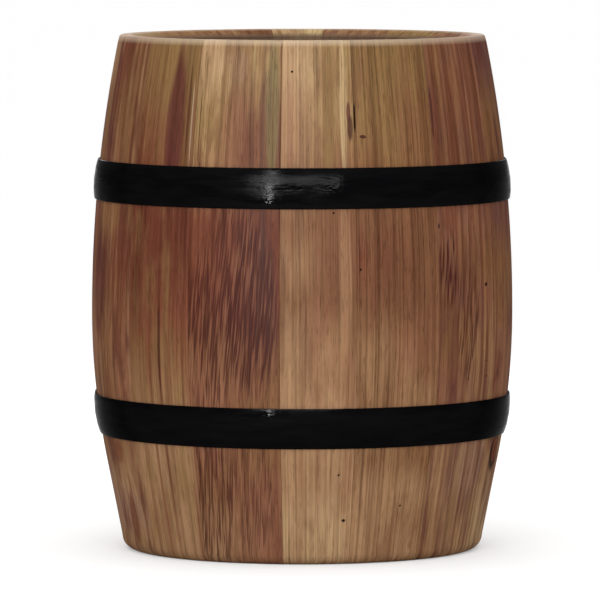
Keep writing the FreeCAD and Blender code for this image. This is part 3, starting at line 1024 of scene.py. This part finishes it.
def rivet_tree(sizes):
    """Domed rivet heads in a row along the lap."""
    tree = new_tree("rivets", sizes)
    given = add(tree, "NodeGroupInput").outputs
    share = add(tree, "ShaderNodeMath",
                {0: add(tree, "GeometryNodeInputIndex"), 1: given["Step"], 2: given["First"]},
                operation="MULTIPLY_ADD")
    turn = add(tree, "ShaderNodeMath", {0: share, 1: given["Lap angle"], 2: given["Seam angle"]},
               operation="MULTIPLY_ADD")
    seat = round_the_keg(tree, turn, given["Radius"], given["Height"])
    points = add(tree, "GeometryNodePoints", {"Count": given["Count"], "Position": seat})

    slope = add(tree, "ShaderNodeMath", {0: given["Lean"]}, operation="TANGENT")
    outwards = round_the_keg(tree, turn, 1.0, slope)
    facing = add(tree, "FunctionNodeAlignRotationToVector", {"Vector": outwards}, axis="Z")

    ball = add(tree, "GeometryNodeMeshUVSphere", {"Segments": 32, "Rings": 20, "Radius": 1.0})
    place = add(tree, "ShaderNodeSeparateXYZ", {0: add(tree, "GeometryNodeInputPosition")})
    above = add(tree, "ShaderNodeMath", {0: place.outputs["Z"], 1: -0.25}, operation="MAXIMUM")
    cut_off = add(tree, "ShaderNodeCombineXYZ",
                  {0: place.outputs["X"], 1: place.outputs["Y"], 2: above})
    size = add(tree, "ShaderNodeCombineXYZ",
               {0: given["Head radius"], 1: given["Head radius"], 2: given["Head height"]})
    dome_place = add(tree, "ShaderNodeVectorMath", {0: cut_off, 1: size}, operation="MULTIPLY")
    dome = add(tree, "GeometryNodeSetPosition",
               {"Geometry": ball.outputs["Mesh"], "Position": dome_place})
    heads = add(tree, "GeometryNodeInstanceOnPoints",
                {"Points": points, "Instance": dome, "Rotation": facing})
    return finish_tree(tree, heads, given["Material"])


def make_hoops():
    paint, steel = hoop_paint(), rivet_steel()
    strip = rivets = None
    for name, bend in (("upper_hoop", UPPER_BEND), ("lower_hoop", LOWER_BEND)):
        low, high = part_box(name)
        middle = (low[2] + high[2]) / 2
        rise = middle - BILGE_HEIGHT
        stand = HOOP_GAP + HOOP_DISH + 2 * HOOP_THICKNESS + HOOP_GAP
        sizes = {
            "Steps round": 420, "Steps across": 45, "Squareness": 0.32,
            "Middle height": middle, "Half width": (high[2] - low[2]) / 2,
            "Thickness": HOOP_THICKNESS, "Dish": HOOP_DISH, "Gap": HOOP_GAP,
            "Lap lift": HOOP_THICKNESS + HOOP_GAP, "Lap angle": LAP_ANGLE,
            "Ramp angle": RAMP_ANGLE, "Seam angle": SEAM_ANGLES[name],
            "Bilge height": BILGE_HEIGHT, "Bilge radius": BILGE_RADIUS, "Bend radius": bend,
            "Unevenness": HOOP_WANDER, "Material": paint,
        }
        strip = strip or hoop_tree(sizes)
        mesh = grow(f"{name}_strip", strip, sizes)
        close_up(mesh, 60)
        place_piece(f"{name}_strip", mesh, paint, "cask", name)

        sizes = {
            "Count": 2, "First": RIVET_FIRST, "Step": RIVET_STEP, "Lap angle": LAP_ANGLE,
            "Seam angle": SEAM_ANGLES[name],
            "Radius": BILGE_RADIUS - bend + math.sqrt((bend + stand) ** 2 - rise**2),
            "Height": middle, "Lean": math.asin(rise / bend), "Head radius": RIVET_RADIUS,
            "Head height": RIVET_HEIGHT, "Material": steel,
        }
        rivets = rivets or rivet_tree(sizes)
        mesh = grow(f"{name}_rivet_heads", rivets, sizes)
        close_up(mesh, 40)
        place_piece(f"{name}_rivet_heads", mesh, steel, "cask", f"{name}_rivets")


def eased_board(name):
    """A head board's mesh with the long edges of both faces planed off a little."""
    shape = bmesh.new()
    shape.from_mesh(bpy.data.objects[name].data)
    bmesh.ops.remove_doubles(shape, verts=shape.verts, dist=0.01 * MM)
    bmesh.ops.dissolve_limit(shape, angle_limit=math.radians(0.5), verts=shape.verts,
                             edges=shape.edges)
    along = Vector((1, 1, 0)).normalized()
    long_edges = []
    for edge in shape.edges:
        way = edge.verts[1].co - edge.verts[0].co
        if way.length > 60 * MM and abs(way.normalized().dot(along)) > 0.999:
            if edge.calc_face_angle(0) > math.radians(60):
                long_edges.append(edge)
    bmesh.ops.bevel(shape, geom=long_edges, offset=HEAD_ARRIS, segments=3, profile=0.5,
                    affect="EDGES")
    bmesh.ops.triangulate(shape, faces=shape.faces)
    mesh = bpy.data.meshes.new(f"{name}_eased")
    shape.to_mesh(mesh)
    shape.free()
    close_up(mesh, 30)
    return mesh


def make_heads():
    """Both heads: boards with eased edges, and the reeds and dowels between them."""
    # Lays the boards' grain, 45 degrees round, along Z, and their width along X
    upright = Matrix(((0, 1, 0), (0, 0, 1), (1, 0, 0))) @ Matrix.Rotation(math.radians(-45), 3, "Z")
    turned = tuple(upright.to_euler())
    reeds = rush()
    for end, first in (("top", 0), ("bottom", 2)):
        for number in range(1, BOARDS + 1):
            name = f"{end}_head_board_{number}"
            pair = HEAD_TONES[(number + first) % len(HEAD_TONES)]
            look = dict(HEAD_LOOK, left=" ".join([pair] * 6))
            material = oak(f"oiled oak {end} head {number}", look, 0.05, 60 + 4 * number + first,
                           turned=turned)
            place_piece(f"{name}_eased", eased_board(name), material, "cask", name)
        look = dict(HEAD_LOOK, left=" ".join([HEAD_TONES[0]] * 6))
        dowels = oak(f"oak dowel {end}", look, 0.006, 90 + first, turned=turned)
        for part, material in (("reeds", reeds), ("dowels", dowels)):
            mesh = bpy.data.objects[f"{end}_head_{part}"].data
            mesh.materials.clear()
            mesh.materials.append(material)


def make_bung():
    """Turned oak bung with fine tool rings on its face."""
    outer = BILGE_RADIUS + BUNG_PROUD
    start = BUNG_WAY * (outer - BUNG_LENGTH) + Vector((0, 0, BILGE_HEIGHT))

    def radius(distance):
        return BUNG_HOLE_RADIUS - BUNG_PLAY - (BUNG_LENGTH - BUNG_PROUD - distance) * BUNG_TAPER

    profile = [(0, 0)]
    profile += [(radius(0) - BUNG_EDGE - back, 0) for back in (8 * MM, 4 * MM, 0)]
    profile += [(radius(0) - 0.3 * BUNG_EDGE, 0.35 * BUNG_EDGE)]
    profile += [(radius(z), z) for z in steps(BUNG_EDGE, BUNG_LENGTH - BUNG_EDGE, 3 * MM)]
    profile += [(radius(BUNG_LENGTH) - 0.3 * BUNG_EDGE, BUNG_LENGTH - 0.35 * BUNG_EDGE)]
    edge = radius(BUNG_LENGTH) - BUNG_EDGE
    for back in steps(0, edge, 0.6 * MM)[:-1]:
        ripple = 0.05 * MM * (1 + math.cos(math.tau * back / (2.4 * MM)))
        profile.append((edge - back, BUNG_LENGTH - ripple))
    profile.append((0, BUNG_LENGTH))
    mesh = turned_mesh("bung_turned", profile, start, BUNG_WAY)
    grain, _ = grain_attributes(mesh)
    side = BUNG_WAY.cross(Vector((0, 0, 1)))
    for number, vert in enumerate(mesh.vertices):
        away = vert.co - start
        depth = BUNG_LENGTH - away.dot(BUNG_WAY)
        grain.data[number].vector = (away.dot(side), depth, vert.co.z)
    look = dict(left="honey fawn honey fawn honey fawn honey fawn honey fawn honey fawn",
                lines=0.7, streaks=0.4, pores=0.8, bands=0.3, blotches=0.3, band="tan",
                blush="tan")
    material = oak("turned oak bung", look, 0.03, 80)
    place_piece("bung_turned", mesh, material, "bung", "bung")


make_camera()
make_studio()
make_staves()
make_hoops()
make_heads()
make_bung()
